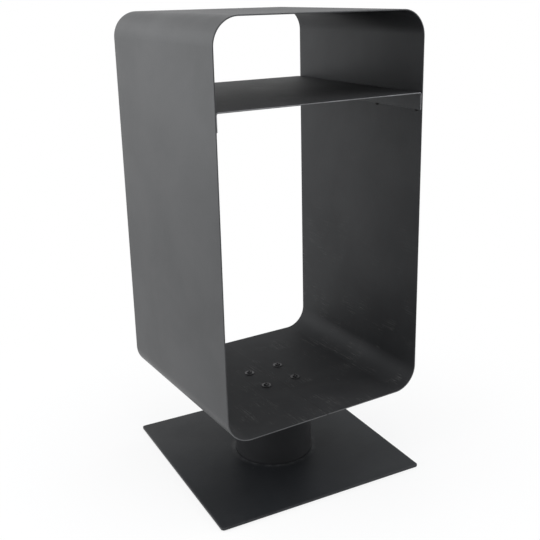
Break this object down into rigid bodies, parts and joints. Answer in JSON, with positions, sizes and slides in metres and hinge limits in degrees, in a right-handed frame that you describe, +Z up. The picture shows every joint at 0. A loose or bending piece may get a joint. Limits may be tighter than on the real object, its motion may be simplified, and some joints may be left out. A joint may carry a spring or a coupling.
{
  "type": "swivelling log holder",
  "caption": "Free-standing steel log holder: a round-cornered tube open front and back, with a kindling shelf, that swivels on a round pedestal on a square floor plate.",
  "frame": {"origin": "on the swivel axis at the floor, which is the middle of the box's underside", "axes": "+Z up along the swivel axis, +X to the right, the open front faces -Y; the base plate stands turned 4 degrees clockwise under the tube, as pictured"},
  "size_m": [0.4368, 0.4368, 0.846],
  "materials": {
    "coated_steel": "fine-grained satin charcoal heat-proof coating on sheet steel",
    "coated_weld": "weld beads under the same satin charcoal coating",
    "felt": "pressed dark grey felt",
    "bearing_alloy": "turned aluminium",
    "zinc_screw": "bright zinc-plated steel",
    "black_screw": "black-oxide steel, slightly oily",
    "ball_steel": "polished bearing steel",
    "nylon": "natural moulded nylon"
  },
  "bodies": {
    "base": {"base_plate": "coated_steel", "floor_pad_front_left": "felt", "floor_pad_front_right": "felt", "floor_pad_back_left": "felt", "floor_pad_back_right": "felt", "pedestal_tube": "coated_steel", "pedestal_foot_weld": "coated_weld", "pedestal_head": "coated_steel", "pedestal_head_weld": "coated_weld", "bearing_outer_ring": "bearing_alloy", "outer_ring_screws": "zinc_screw", "ball_fill_plug": "zinc_screw"},
    "bearing_set": {"bearing_balls": "ball_steel", "ball_cage": "nylon"},
    "carrier": {"bearing_inner_ring": "bearing_alloy", "carrier_washers": "black_screw", "carrier_screws": "black_screw", "shell": "coated_steel", "shell_seam_weld": "coated_weld", "shelf": "coated_steel", "shelf_welds_left": "coated_weld", "shelf_welds_right": "coated_weld"}
  },
  "joints": [
    {"name": "swivel", "type": "hinge", "parent": "base", "child": "carrier", "pos_m": [0, 0, 0.1495], "axis": [0, 0, 1], "continuous": true},
    {"name": "bearing_roll", "type": "hinge", "parent": "base", "child": "bearing_set", "pos_m": [0, 0, 0.1495], "axis": [0, 0, 1], "continuous": true}
  ],
  "couplings": [
    {"joint": "bearing_roll", "follows": "swivel", "ratio": 0.4722}
  ]
}
